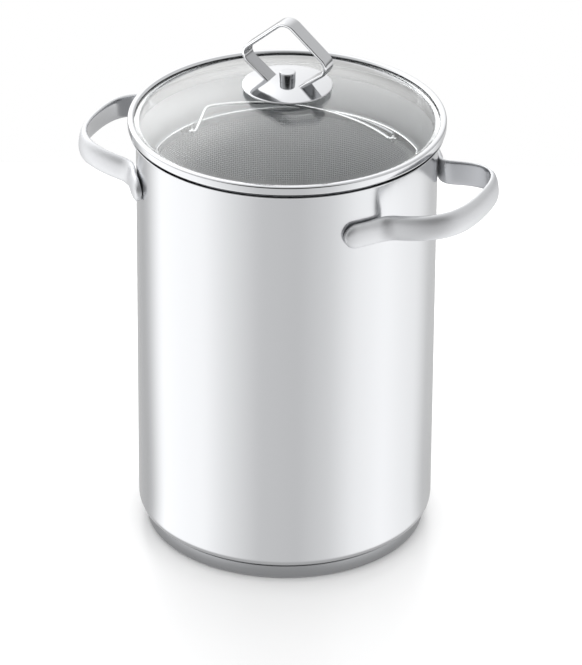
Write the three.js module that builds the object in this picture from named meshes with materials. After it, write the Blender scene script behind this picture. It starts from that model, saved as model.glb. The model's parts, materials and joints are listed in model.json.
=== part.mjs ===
// A tall asparagus pot: a polished steel pot on a capped base, a mesh basket that stands inside it, and a
// glass lid with a strap handle. Millimetres, +Z up. The origin is on the floor under the middle of the
// base, and the side handles point along +X and -X.

import * as THREE from 'three';

// How finely round forms are cut
const ROUND_STEPS = 48;
const SMALL_ROUND_STEPS = 24;
const ARC_STEPS = 3;
const WIRE_SIDES = 8;

// Clearances
const FIT_GAP = 0.3;
const PIN_CLEARANCE = 0.25;

// Pot body and its capped base
const POT_OUTER_R = 81;
const POT_WALL = 0.8;
const POT_RIM_Z = 237;
const POT_CORNER_R = 7;
const POT_FLARE = 2.4;
const POT_FLARE_HEIGHT = 5.5;
const BASE_HEIGHT = 8;
const BASE_CAP_INSET = 4.2;
const BASE_CAP_WALL = 0.6;
const BASE_CAP_EDGE_R = 2.5;

// Side handles: forged straps with feet that lie on the pot's wall
const HANDLE_DROP = 28.5;
const HANDLE_FOOT_LENGTH = 18.1;
const HANDLE_HALF_WIDTH = 36.5;
const HANDLE_BEND = 6.2;
const HANDLE_REACH = 36.4;
const HANDLE_TILT = 9;
const HANDLE_WIDTH = 14;
const HANDLE_INNER_THICKNESS = 1.6;
const HANDLE_CROWN = 2.6;

// Mesh basket
const BASKET_CLEARANCE = 5.2;
const BASKET_RIM_DROP = 24;
const BASKET_RIM_HEIGHT = 4.5;
const BASKET_FOOT_HEIGHT = 4;
const BASKET_LEDGE = 3.2;
const MESH_THICKNESS = 0.8;
const CHANNEL_WALL = 0.7;

// Folding wire handles of the basket, each in two ears on the basket's rim
const BAIL_FACING_ANGLES = { far: 111, near: 291 };
const BAIL_WIRE_R = 1;
const BAIL_HALF_ANGLE = 52;
const BAIL_HINGE_INSET = 2.7;
const BAIL_HINGE_DROP = 3;
const BAIL_PIN_SPARE = 1.1;
const BAIL_HIGH_END = { angle: -41.5, outset: 0.8, rise: 6.8 };
const BAIL_LOW_END = { angle: 49.5, outset: -2.7, rise: -4.5 };
const EAR_THICKNESS = 1.2;
const EAR_MARGIN = 1.2;

// Glass lid
const BAND_OVERHANG = 2;
const BAND_WALL = 0.5;
const BAND_LIP = 0.5;
const BAND_GRIP = 3;
const BAND_SKIRT_DEPTH = 6.3;
const BAND_SKIRT_CLEARANCE = 1.2;
const GLASS_THICKNESS = 2.8;
const GLASS_RISE = 19.4;
const GLASS_FLANGE = 3.9;
const GLASS_HOLE_CLEARANCE = 1.2;

// Lid handle: a strap loop on a domed plate, held by one screw from below
const PLATE_R = 24.3;
const PLATE_DOME = 2.3;
const PLATE_THICKNESS = 1;
const PLATE_GASKET_INSET = 1.8;
const GASKET_THICKNESS = 1.8;
const LOOP_HALF_WIDTH = 24.8;
const LOOP_HEIGHT = 35;
const LOOP_CORNER_Z = 13.1;
const LOOP_FOOT_X = 12.2;
const LOOP_STRAP_THICKNESS = 2.2;
const LOOP_STRAP_WIDTH = 9.6;
const LOOP_TOP_R = 8;
const LOOP_CORNER_R = 6.8;
const LOOP_EDGE_BEVEL = 0.5;
const BOSS_R = 4.35;
const BOSS_HEIGHT = 4.6;
const BOSS_CAP = 0.8;
const SCREW_R = 2;
const SCREW_HEAD_R = 4;
const SCREW_HEAD_HEIGHT = 2.4;
const SCREW_SOCKET_R = 1.4;
const SCREW_SOCKET_DEPTH = 1.3;
const WASHER_R = 8;
const WASHER_THICKNESS = 1;
const LOWER_GASKET_R = 9;
const LOWER_GASKET_THICKNESS = 1.2;

// Heights and radii that follow from the sizes above
const potUnderside = BASE_HEIGHT + FIT_GAP;
const potInnerR = POT_OUTER_R - POT_WALL;
const potLipR = POT_OUTER_R + POT_FLARE;
const baseCapR = POT_OUTER_R - BASE_CAP_INSET;
const handleFootZ = POT_RIM_Z - HANDLE_DROP;
const potFloorZ = potUnderside + POT_WALL;
const basketFootZ = potFloorZ + FIT_GAP;
const channelWidth = 2 * CHANNEL_WALL + 2 * FIT_GAP + MESH_THICKNESS;
const basketR = potInnerR - BASKET_CLEARANCE;
const basketInnerR = basketR - channelWidth;
const basketRimZ = POT_RIM_Z - BASKET_RIM_DROP;
const bailHingeR = basketInnerR - BAIL_HINGE_INSET;
const hingeZ = basketRimZ - BAIL_HINGE_DROP;
const bandR = potLipR + BAND_OVERHANG;
const bandUnderside = POT_RIM_Z + FIT_GAP;
const glassUnderside = bandUnderside + BAND_WALL + FIT_GAP;
const glassFlangeTop = glassUnderside + GLASS_THICKNESS;
const bandTop = glassFlangeTop + FIT_GAP + BAND_WALL;
const glassEdgeR = bandR - BAND_WALL - 2 * FIT_GAP - BAND_LIP;
const glassDomeR = glassEdgeR - GLASS_FLANGE;
const glassTop = glassFlangeTop + GLASS_RISE;
const glassSphereR = (glassDomeR ** 2 + GLASS_RISE ** 2) / (2 * GLASS_RISE);
const glassCentreZ = glassTop - glassSphereR;
const plateUnderside = glassTop + GASKET_THICKNESS + 2 * FIT_GAP;
const plateTop = plateUnderside + PLATE_THICKNESS;
const plateSphereR = (PLATE_R ** 2 + PLATE_DOME ** 2) / (2 * PLATE_DOME);
const plateCentreZ = plateTop - plateSphereR;
const bossUnderside = plateTop + FIT_GAP;
const loopFootZ = sphereZ(plateCentreZ, plateSphereR, LOOP_FOOT_X) + FIT_GAP;
const bossBoreTop = bossUnderside + BOSS_HEIGHT - BOSS_CAP;
const screwHoleR = SCREW_R + FIT_GAP;
const glassHoleR = SCREW_R + GLASS_HOLE_CLEARANCE;
const lowerGasketTop = sphereZ(glassCentreZ, glassSphereR - GLASS_THICKNESS, LOWER_GASKET_R) - FIT_GAP;
const washerTop = lowerGasketTop - LOWER_GASKET_THICKNESS - FIT_GAP;
const screwHeadTop = washerTop - WASHER_THICKNESS - FIT_GAP;

// Height of a sphere's upper side at a distance from the pot's axis
function sphereZ(centreZ, sphereR, distance) {
  return centreZ + Math.sqrt(sphereR ** 2 - distance ** 2);
}

// A solid of revolution from an outline in radius and height, faces outwards
function turned(outline, steps) {
  const points = THREE.ShapeUtils.isClockWise(outline) ? outline.slice().reverse() : outline;
  const geometry = new THREE.LatheGeometry(points, steps);
  return geometry.rotateX(Math.PI / 2);
}

// Outline points of a path, closed on itself
function closedOutline(path) {
  path.closePath();
  return path.getPoints(ARC_STEPS);
}

// Points on a sphere's side view, from one distance to another
function spherePoints(centreZ, sphereR, fromR, toR, steps) {
  const points = [];
  for (let step = 0; step <= steps; step += 1) {
    const radius = fromR + (toR - fromR) * step / steps;
    points.push(new THREE.Vector2(radius, sphereZ(centreZ, sphereR, radius)));
  }
  return points;
}

// A closed skin through rings of equal length, with both ends capped
function loft(rings) {
  const size = rings[0].length;
  const positions = rings.flat().flatMap((point) => point.toArray());
  const index = [];
  for (let ring = 0; ring + 1 < rings.length; ring += 1) {
    for (let side = 0; side < size; side += 1) {
      const next = (side + 1) % size;
      const a = ring * size + side;
      const b = ring * size + next;
      index.push(a, a + size, b, b, a + size, b + size);
    }
  }
  const last = (rings.length - 1) * size;
  for (let side = 1; side + 1 < size; side += 1) {
    index.push(0, side, side + 1);
    index.push(last, last + side + 1, last + side);
  }
  const geometry = new THREE.BufferGeometry();
  geometry.setAttribute('position', new THREE.Float32BufferAttribute(positions, 3));
  geometry.setIndex(index);
  return geometry;
}

// Direction of a list of points at each of them
function directions(points) {
  return points.map((point, place) => {
    const before = points[Math.max(place - 1, 0)];
    const after = points[Math.min(place + 1, points.length - 1)];
    return after.clone().sub(before).normalize();
  });
}

// A round wire along a list of points, none of them straight above another
function wire(points, radius) {
  const up = new THREE.Vector3(0, 0, 1);
  const along = directions(points);
  const rings = points.map((point, place) => {
    const across = along[place].clone().cross(up).normalize();
    const over = across.clone().cross(along[place]);
    const ring = [];
    for (let side = 0; side < WIRE_SIDES; side += 1) {
      const turn = 2 * Math.PI * side / WIRE_SIDES;
      ring.push(point.clone()
        .addScaledVector(across, radius * Math.cos(turn))
        .addScaledVector(over, radius * Math.sin(turn)));
    }
    return ring;
  });
  return loft(rings);
}

// Drawn pot: flat floor, round corner, straight wall and a rim that flares for pouring
function potShell() {
  const flareZ = POT_RIM_Z - POT_FLARE_HEIGHT;
  const flareBendZ = POT_RIM_Z - POT_FLARE_HEIGHT / 2;
  const cornerX = POT_OUTER_R - POT_CORNER_R;
  const cornerZ = potUnderside + POT_CORNER_R;
  const path = new THREE.Path();
  path.moveTo(0, potUnderside);
  path.lineTo(cornerX, potUnderside);
  path.absarc(cornerX, cornerZ, POT_CORNER_R, -Math.PI / 2, 0, false);
  path.lineTo(POT_OUTER_R, flareZ);
  path.quadraticCurveTo(POT_OUTER_R, flareBendZ, potLipR, POT_RIM_Z);
  path.lineTo(potLipR - POT_WALL, POT_RIM_Z);
  path.quadraticCurveTo(potInnerR, flareBendZ, potInnerR, flareZ);
  path.lineTo(potInnerR, cornerZ);
  path.absarc(cornerX, cornerZ, POT_CORNER_R - POT_WALL, 0, -Math.PI / 2, true);
  path.lineTo(0, potFloorZ);
  return turned(path.getPoints(ARC_STEPS), ROUND_STEPS);
}

// Steel cup that closes the base from below
function baseCap() {
  const edgeX = baseCapR - BASE_CAP_EDGE_R;
  const innerEdgeR = BASE_CAP_EDGE_R - BASE_CAP_WALL;
  const path = new THREE.Path();
  path.moveTo(0, 0);
  path.lineTo(edgeX, 0);
  path.absarc(edgeX, BASE_CAP_EDGE_R, BASE_CAP_EDGE_R, -Math.PI / 2, 0, false);
  path.lineTo(baseCapR, BASE_HEIGHT);
  path.lineTo(baseCapR - BASE_CAP_WALL, BASE_HEIGHT);
  path.absarc(edgeX, BASE_CAP_EDGE_R, innerEdgeR, 0, -Math.PI / 2, true);
  path.lineTo(0, BASE_CAP_WALL);
  return turned(path.getPoints(ARC_STEPS), ROUND_STEPS);
}

// Aluminium disc inside the cap
function baseCore() {
  const radius = baseCapR - BASE_CAP_WALL - FIT_GAP;
  const chamfer = BASE_CAP_EDGE_R - BASE_CAP_WALL;
  const lowZ = BASE_CAP_WALL + FIT_GAP;
  const path = new THREE.Path();
  path.moveTo(0, lowZ);
  path.lineTo(radius - chamfer, lowZ);
  path.lineTo(radius, lowZ + chamfer);
  path.lineTo(radius, BASE_HEIGHT);
  path.lineTo(0, BASE_HEIGHT);
  return turned(path.getPoints(), ROUND_STEPS);
}

// One half of the side handle's centre line seen from above, from the foot's tip to the outer end.
// Each station has its place, outwards and sideways, and how much of the strap's width is left there.
function handleStations() {
  const footR = POT_OUTER_R + FIT_GAP + HANDLE_INNER_THICKNESS;
  const leaveAngle = Math.asin((HANDLE_HALF_WIDTH + HANDLE_BEND) / footR);
  const tipAngle = leaveAngle + HANDLE_FOOT_LENGTH / footR;
  const onWall = (angle) => new THREE.Vector2(footR * Math.cos(angle), footR * Math.sin(angle));
  const stations = [];
  const tipR = HANDLE_WIDTH / 2;
  const tipSteps = ARC_STEPS;
  for (let step = 0; step <= tipSteps; step += 1) {
    const turn = Math.PI / 2 * (step + 0.4) / (tipSteps + 0.4);
    const angle = tipAngle - tipR * (1 - Math.cos(turn)) / footR;
    stations.push({ place: onWall(angle), width: Math.sin(turn) });
  }
  const leave = onWall(leaveAngle);
  const slope = new THREE.Vector2(Math.sin(leaveAngle), -Math.cos(leaveAngle));
  const toLeg = (leave.y - HANDLE_HALF_WIDTH) / -slope.y;
  const bend = leave.clone().addScaledVector(slope, toLeg);
  const legStart = new THREE.Vector2(bend.x + toLeg, HANDLE_HALF_WIDTH);
  const apex = new THREE.Vector2(POT_OUTER_R + HANDLE_REACH - HANDLE_CROWN, 0);
  const endRun = apex.x - legStart.x;
  const turnIn = new THREE.QuadraticBezierCurve(leave, bend, legStart);
  const roundEnd = new THREE.CubicBezierCurve(
    legStart,
    new THREE.Vector2(legStart.x + 0.85 * endRun, HANDLE_HALF_WIDTH),
    new THREE.Vector2(apex.x, 0.6 * HANDLE_HALF_WIDTH),
    apex,
  );
  for (const place of [...turnIn.getPoints(ARC_STEPS), ...roundEnd.getPoints(2 * ARC_STEPS).slice(1)]) {
    stations.push({ place, width: 1 });
  }
  return stations;
}

// Strap section: across the width, and away from the wall on the crowned side
function strapSection() {
  const corners = 14;
  const section = [];
  for (let corner = 0; corner < corners; corner += 1) {
    const turn = 2 * Math.PI * (corner + 0.5) / corners;
    const across = Math.sign(Math.cos(turn)) * Math.abs(Math.cos(turn)) ** 0.6;
    const out = Math.sin(turn) > 0
      ? HANDLE_CROWN * Math.sin(turn)
      : -HANDLE_INNER_THICKNESS * Math.abs(Math.sin(turn)) ** 0.5;
    section.push(new THREE.Vector2(across * HANDLE_WIDTH / 2, out));
  }
  return section;
}

// Side handle on the +X side: feet upright on the wall, loop leaning upwards towards its outer end
function sideHandle() {
  const half = handleStations();
  const mirrored = half.slice(0, -1).reverse()
    .map(({ place, width }) => ({ place: new THREE.Vector2(place.x, -place.y), width }));
  const stations = [...half, ...mirrored];
  const along = directions(stations.map(({ place }) => place));
  const tilt = THREE.MathUtils.degToRad(HANDLE_TILT);
  const riseStart = Math.sqrt(POT_OUTER_R ** 2 - (HANDLE_HALF_WIDTH + HANDLE_BEND) ** 2);
  const easing = HANDLE_WIDTH / 2;
  const section = strapSection();
  const rings = stations.map(({ place, width }, number) => {
    const out = Math.max(0, place.x - riseStart);
    const rise = Math.tan(tilt) * (out < easing ? out ** 2 / (2 * easing) : out - easing / 2);
    const lean = tilt * Math.min(1, out / easing);
    const centre = new THREE.Vector3(place.x, place.y, handleFootZ + rise);
    const up = new THREE.Vector3(-Math.sin(lean), 0, Math.cos(lean));
    const direction = new THREE.Vector3(along[number].x, along[number].y, 0);
    const outward = up.clone().cross(direction).normalize();
    return section.map(({ x, y }) => centre.clone()
      .addScaledVector(up, x * width)
      .addScaledVector(outward, y < 0 ? y : y * Math.sqrt(width)));
  });
  return loft(rings);
}

// Fine mesh tube between the two channels of the basket
function basketWall() {
  const outerR = basketR - CHANNEL_WALL - FIT_GAP;
  const lowZ = basketFootZ + CHANNEL_WALL + FIT_GAP;
  const highZ = basketRimZ - CHANNEL_WALL - FIT_GAP;
  const path = new THREE.Path();
  path.moveTo(outerR - MESH_THICKNESS, lowZ);
  path.lineTo(outerR, lowZ);
  path.lineTo(outerR, highZ);
  path.lineTo(outerR - MESH_THICKNESS, highZ);
  return turned(closedOutline(path), ROUND_STEPS);
}

// Mesh disc that lies on the ledge of the basket's foot
function basketFloor() {
  const radius = basketInnerR - FIT_GAP;
  const lowZ = basketFootZ + CHANNEL_WALL + FIT_GAP;
  const path = new THREE.Path();
  path.moveTo(0, lowZ);
  path.lineTo(radius, lowZ);
  path.lineTo(radius, lowZ + MESH_THICKNESS);
  path.lineTo(0, lowZ + MESH_THICKNESS);
  return turned(path.getPoints(), ROUND_STEPS);
}

// Folded channel over the basket's top edge
function basketRim() {
  const lowZ = basketRimZ - BASKET_RIM_HEIGHT;
  const pocketZ = basketRimZ - CHANNEL_WALL;
  const roundR = CHANNEL_WALL;
  const path = new THREE.Path();
  path.moveTo(basketR, lowZ);
  path.lineTo(basketR, basketRimZ - roundR);
  path.quadraticCurveTo(basketR, basketRimZ, basketR - roundR, basketRimZ);
  path.lineTo(basketInnerR + roundR, basketRimZ);
  path.quadraticCurveTo(basketInnerR, basketRimZ, basketInnerR, basketRimZ - roundR);
  path.lineTo(basketInnerR, lowZ);
  path.lineTo(basketInnerR + CHANNEL_WALL, lowZ);
  path.lineTo(basketInnerR + CHANNEL_WALL, pocketZ);
  path.lineTo(basketR - CHANNEL_WALL, pocketZ);
  path.lineTo(basketR - CHANNEL_WALL, lowZ);
  return turned(closedOutline(path), ROUND_STEPS);
}

// Channel under the basket's lower edge, with a ledge for the floor
function basketFootRing() {
  const highZ = basketFootZ + BASKET_FOOT_HEIGHT;
  const pocketZ = basketFootZ + CHANNEL_WALL;
  const ledgeR = basketInnerR - BASKET_LEDGE;
  const path = new THREE.Path();
  path.moveTo(ledgeR, basketFootZ);
  path.lineTo(basketR, basketFootZ);
  path.lineTo(basketR, highZ);
  path.lineTo(basketR - CHANNEL_WALL, highZ);
  path.lineTo(basketR - CHANNEL_WALL, pocketZ);
  path.lineTo(basketInnerR + CHANNEL_WALL, pocketZ);
  path.lineTo(basketInnerR + CHANNEL_WALL, highZ);
  path.lineTo(basketInnerR, highZ);
  path.lineTo(basketInnerR, pocketZ);
  path.lineTo(ledgeR, pocketZ);
  return turned(closedOutline(path), ROUND_STEPS);
}

// Where a wire handle's hinge crosses its ears, facing +Y: half its length and its distance from the axis
const hingeHalf = bailHingeR * Math.sin(THREE.MathUtils.degToRad(BAIL_HALF_ANGLE));
const hingeY = bailHingeR * Math.cos(THREE.MathUtils.degToRad(BAIL_HALF_ANGLE));

// Wire handle that faces +Y: a pin in each ear, and an arc beside the rim that sits high at its -X end
function basketHandle() {
  const onArc = (share) => {
    const angle = THREE.MathUtils.lerp(BAIL_HIGH_END.angle, BAIL_LOW_END.angle, share);
    const radius = basketInnerR + THREE.MathUtils.lerp(BAIL_HIGH_END.outset, BAIL_LOW_END.outset, share);
    const rise = THREE.MathUtils.lerp(BAIL_HIGH_END.rise, BAIL_LOW_END.rise, share);
    const turn = THREE.MathUtils.degToRad(angle);
    return new THREE.Vector3(radius * Math.sin(turn), radius * Math.cos(turn), basketRimZ + rise);
  };
  const pin = (side) => {
    const outer = hingeHalf + EAR_THICKNESS / 2 + BAIL_PIN_SPARE;
    const inner = hingeHalf - EAR_THICKNESS / 2 - BAIL_PIN_SPARE;
    return [outer, inner].map((along) => new THREE.Vector3(side * along, hingeY, hingeZ));
  };
  const arcSteps = 5 * ARC_STEPS;
  const points = [...pin(-1)];
  for (let step = 0; step <= arcSteps; step += 1) {
    points.push(onArc(step / arcSteps));
  }
  points.push(...pin(1).reverse());
  return wire(points, BAIL_WIRE_R);
}

// Ear for one end of a wire handle that faces +Y: a round eye on a short arm from the basket's rim
function basketEar(side) {
  const eyeR = BAIL_WIRE_R + PIN_CLEARANCE;
  const outerR = eyeR + EAR_MARGIN;
  const farX = hingeHalf + EAR_THICKNESS / 2;
  const armEnd = Math.sqrt(basketInnerR ** 2 - farX ** 2) - FIT_GAP - hingeY;
  const outline = new THREE.Shape();
  outline.moveTo(armEnd, -outerR);
  outline.lineTo(armEnd, outerR);
  outline.lineTo(0, outerR);
  outline.absarc(0, 0, outerR, Math.PI / 2, 3 * Math.PI / 2, false);
  const eye = new THREE.Path();
  eye.absarc(0, 0, eyeR, 0, 2 * Math.PI, true);
  outline.holes.push(eye);
  const geometry = new THREE.ExtrudeGeometry(outline, {
    depth: EAR_THICKNESS,
    bevelEnabled: false,
    curveSegments: 2 * ARC_STEPS,
  });
  geometry.translate(0, 0, -EAR_THICKNESS / 2);
  geometry.rotateY(Math.PI / 2).rotateX(Math.PI / 2);
  return geometry.translate(side * hingeHalf, hingeY, hingeZ);
}

// Domed glass with a flat flange at its edge and a hole for the screw
function lidGlass() {
  const innerSphereR = glassSphereR - GLASS_THICKNESS;
  const innerDomeR = Math.sqrt(innerSphereR ** 2 - (glassUnderside - glassCentreZ) ** 2);
  const domeSteps = 2 * ARC_STEPS;
  const outline = [
    ...spherePoints(glassCentreZ, glassSphereR, glassHoleR, glassDomeR, domeSteps),
    new THREE.Vector2(glassEdgeR, glassFlangeTop),
    new THREE.Vector2(glassEdgeR, glassUnderside),
    ...spherePoints(glassCentreZ, innerSphereR, innerDomeR, glassHoleR, domeSteps),
  ];
  return turned([...outline, outline[0].clone()], ROUND_STEPS);
}

// Steel band crimped round the glass: a rounded outer bead, two grips and a skirt that hangs in the pot
function lidRimBand() {
  const skirtR = potInnerR - BAND_SKIRT_CLEARANCE;
  const pocketR = glassEdgeR + FIT_GAP;
  const gripR = glassEdgeR - BAND_GRIP;
  const lipR = potLipR + FIT_GAP;
  const lipZ = bandUnderside - BAND_LIP;
  const middleZ = (lipZ + bandTop) / 2;
  const skirtZ = bandUnderside - BAND_SKIRT_DEPTH;
  const path = new THREE.Path();
  path.moveTo(skirtR, skirtZ);
  path.lineTo(skirtR, bandUnderside);
  path.lineTo(lipR, bandUnderside);
  path.lineTo(lipR, lipZ);
  path.quadraticCurveTo(bandR, lipZ, bandR, middleZ);
  path.quadraticCurveTo(bandR, bandTop, pocketR - BAND_LIP, bandTop);
  path.lineTo(gripR, bandTop);
  path.lineTo(gripR, bandTop - BAND_WALL);
  path.lineTo(pocketR, bandTop - BAND_WALL);
  path.lineTo(pocketR, bandUnderside + BAND_WALL);
  path.lineTo(skirtR - BAND_WALL, bandUnderside + BAND_WALL);
  path.lineTo(skirtR - BAND_WALL, skirtZ);
  return turned(closedOutline(path), ROUND_STEPS);
}

// Domed plate under the lid's handle, with a hole for the screw
function handlePlate() {
  const outline = [
    ...spherePoints(plateCentreZ, plateSphereR, screwHoleR, PLATE_R, ARC_STEPS),
    ...spherePoints(plateCentreZ, plateSphereR - PLATE_THICKNESS, PLATE_R, screwHoleR, ARC_STEPS),
  ];
  return turned([...outline, outline[0].clone()], SMALL_ROUND_STEPS);
}

// Silicone pad between the plate and the glass
function upperGasket() {
  const radius = PLATE_R - PLATE_GASKET_INSET;
  const topSphereR = plateSphereR - PLATE_THICKNESS - FIT_GAP;
  const outline = [
    ...spherePoints(plateCentreZ, topSphereR, screwHoleR, radius, ARC_STEPS),
    ...spherePoints(glassCentreZ, glassSphereR + FIT_GAP, radius, screwHoleR, ARC_STEPS),
  ];
  return turned([...outline, outline[0].clone()], SMALL_ROUND_STEPS);
}

// A flat ring round the pot's axis
function flatRing(innerR, outerR, topZ, thickness) {
  const path = new THREE.Path();
  path.moveTo(innerR, topZ - thickness);
  path.lineTo(outerR, topZ - thickness);
  path.lineTo(outerR, topZ);
  path.lineTo(innerR, topZ);
  return turned(closedOutline(path), SMALL_ROUND_STEPS);
}

// Threaded boss on the plate, bored from below
function handleBoss() {
  const chamfer = BOSS_HEIGHT / 8;
  const topZ = bossUnderside + BOSS_HEIGHT;
  const path = new THREE.Path();
  path.moveTo(0, bossBoreTop);
  path.lineTo(screwHoleR, bossBoreTop);
  path.lineTo(screwHoleR, bossUnderside);
  path.lineTo(BOSS_R, bossUnderside);
  path.lineTo(BOSS_R, topZ - chamfer);
  path.lineTo(BOSS_R - chamfer, topZ);
  path.lineTo(0, topZ);
  return turned(path.getPoints(), SMALL_ROUND_STEPS);
}

// Screw from below: pan head with a socket, and a shank that ends in the boss
function lidScrew() {
  const headZ = screwHeadTop - SCREW_HEAD_HEIGHT;
  const shankTop = bossBoreTop - FIT_GAP;
  const path = new THREE.Path();
  path.moveTo(0, headZ + SCREW_SOCKET_DEPTH);
  path.lineTo(SCREW_SOCKET_R, headZ + SCREW_SOCKET_DEPTH);
  path.lineTo(SCREW_SOCKET_R, headZ);
  path.lineTo(SCREW_HEAD_R * 0.7, headZ);
  path.quadraticCurveTo(SCREW_HEAD_R, headZ, SCREW_HEAD_R, screwHeadTop);
  path.lineTo(SCREW_R, screwHeadTop);
  path.lineTo(SCREW_R, shankTop);
  path.lineTo(0, shankTop);
  return turned(path.getPoints(ARC_STEPS), SMALL_ROUND_STEPS);
}

// Direction of the line that touches two circles on the right of the way from one to the other
function touchingNormal(from, fromR, to, toR) {
  const way = to.clone().sub(from);
  return way.angle() - Math.acos((fromR - toR) / way.length());
}

// Strap bent into a loop with a rounded top and corners, both feet on the plate
function lidHandleLoop() {
  const foot = new THREE.Vector2(LOOP_FOOT_X, 0);
  const corner = new THREE.Vector2(LOOP_HALF_WIDTH - LOOP_CORNER_R, LOOP_CORNER_Z);
  const top = new THREE.Vector2(0, LOOP_HEIGHT - LOOP_TOP_R);
  const low = touchingNormal(foot, 0, corner, LOOP_CORNER_R);
  const high = touchingNormal(corner, LOOP_CORNER_R, top, LOOP_TOP_R);
  const footEndX = LOOP_FOOT_X - LOOP_STRAP_THICKNESS * Math.cos(low);
  const footEndZ = -LOOP_STRAP_THICKNESS * Math.sin(low);
  const innerCornerR = LOOP_CORNER_R - LOOP_STRAP_THICKNESS;
  const innerTopR = LOOP_TOP_R - LOOP_STRAP_THICKNESS;
  const outline = new THREE.Shape();
  outline.moveTo(LOOP_FOOT_X, 0);
  outline.absarc(corner.x, corner.y, LOOP_CORNER_R, low, high, false);
  outline.absarc(0, top.y, LOOP_TOP_R, high, Math.PI - high, false);
  outline.absarc(-corner.x, corner.y, LOOP_CORNER_R, Math.PI - high, Math.PI - low, false);
  outline.lineTo(-LOOP_FOOT_X, 0);
  outline.lineTo(-footEndX, footEndZ);
  outline.absarc(-corner.x, corner.y, innerCornerR, Math.PI - low, Math.PI - high, true);
  outline.absarc(0, top.y, innerTopR, Math.PI - high, high, true);
  outline.absarc(corner.x, corner.y, innerCornerR, high, low, true);
  outline.lineTo(footEndX, footEndZ);
  const geometry = new THREE.ExtrudeGeometry(outline, {
    depth: LOOP_STRAP_WIDTH - 2 * LOOP_EDGE_BEVEL,
    bevelSize: LOOP_EDGE_BEVEL,
    bevelOffset: -LOOP_EDGE_BEVEL,
    bevelThickness: LOOP_EDGE_BEVEL,
    bevelSegments: 1,
    curveSegments: ARC_STEPS,
  });
  geometry.translate(0, 0, LOOP_EDGE_BEVEL - LOOP_STRAP_WIDTH / 2);
  return geometry.rotateX(Math.PI / 2).translate(0, 0, loopFootZ);
}

// Finishes
const metal = (color, roughness) => new THREE.MeshStandardMaterial({ color, roughness, metalness: 1 });
const polishedSteel = () => metal(0xdcdddf, 0.12);
const satinSteel = () => metal(0xb4b6b9, 0.35);
const wireMesh = () => metal(0x9b9da0, 0.45);
const aluminium = () => metal(0xc3c5c8, 0.5);
const clearGlass = () => new THREE.MeshStandardMaterial({
  color: 0xe8efee,
  roughness: 0.03,
  metalness: 0,
  transparent: true,
  opacity: 0.25,
});
const greySilicone = () => new THREE.MeshStandardMaterial({
  color: 0x2c2d2f,
  roughness: 0.6,
  metalness: 0,
});

const asparagusPot = new THREE.Group();

function addPiece(parent, name, geometry, material) {
  const piece = new THREE.Mesh(geometry, material);
  piece.name = name;
  parent.add(piece);
}

function turnedGroup(parent, degrees) {
  const group = new THREE.Group();
  group.rotation.z = THREE.MathUtils.degToRad(degrees);
  parent.add(group);
  return group;
}

// Pot
addPiece(asparagusPot, 'pot_shell', potShell(), polishedSteel());
addPiece(asparagusPot, 'base_core', baseCore(), aluminium());
addPiece(asparagusPot, 'base_cap', baseCap(), satinSteel());
addPiece(asparagusPot, 'side_handle_right', sideHandle(), satinSteel());
addPiece(turnedGroup(asparagusPot, 180), 'side_handle_left', sideHandle(), satinSteel());

// Basket
addPiece(asparagusPot, 'basket_wall', basketWall(), wireMesh());
addPiece(asparagusPot, 'basket_floor', basketFloor(), wireMesh());
addPiece(asparagusPot, 'basket_rim', basketRim(), polishedSteel());
addPiece(asparagusPot, 'basket_foot_ring', basketFootRing(), polishedSteel());
for (const [place, angle] of Object.entries(BAIL_FACING_ANGLES)) {
  const facing = turnedGroup(asparagusPot, angle - 90);
  addPiece(facing, `basket_handle_${place}`, basketHandle(), polishedSteel());
  addPiece(facing, `basket_ear_${place}_high`, basketEar(-1), polishedSteel());
  addPiece(facing, `basket_ear_${place}_low`, basketEar(1), polishedSteel());
}

// Lid
addPiece(asparagusPot, 'lid_glass', lidGlass(), clearGlass());
addPiece(asparagusPot, 'lid_rim_band', lidRimBand(), polishedSteel());
addPiece(asparagusPot, 'lid_gasket_upper', upperGasket(), greySilicone());
addPiece(
  asparagusPot,
  'lid_gasket_lower',
  flatRing(screwHoleR, LOWER_GASKET_R, lowerGasketTop, LOWER_GASKET_THICKNESS),
  greySilicone(),
);
addPiece(
  asparagusPot,
  'lid_washer',
  flatRing(screwHoleR, WASHER_R, washerTop, WASHER_THICKNESS),
  satinSteel(),
);
addPiece(asparagusPot, 'lid_screw', lidScrew(), satinSteel());
addPiece(asparagusPot, 'lid_handle_plate', handlePlate(), polishedSteel());
addPiece(asparagusPot, 'lid_handle_boss', handleBoss(), polishedSteel());
addPiece(asparagusPot, 'lid_handle_loop', lidHandleLoop(), satinSteel());

export default asparagusPot;
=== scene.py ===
# %% [markdown]
# # A tall asparagus pot
# The pot is a straight steel cylinder on a thick capped base. A mesh basket stands inside it and a domed
# glass lid closes it. The CAD solids give every piece its place and size, and here each one gets the smooth
# skin and the finish that the eye expects. All sizes are written in millimetres and turned into metres when
# a mesh is made.

import json
import math

import bmesh
import bpy
from mathutils import Matrix, Vector


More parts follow.
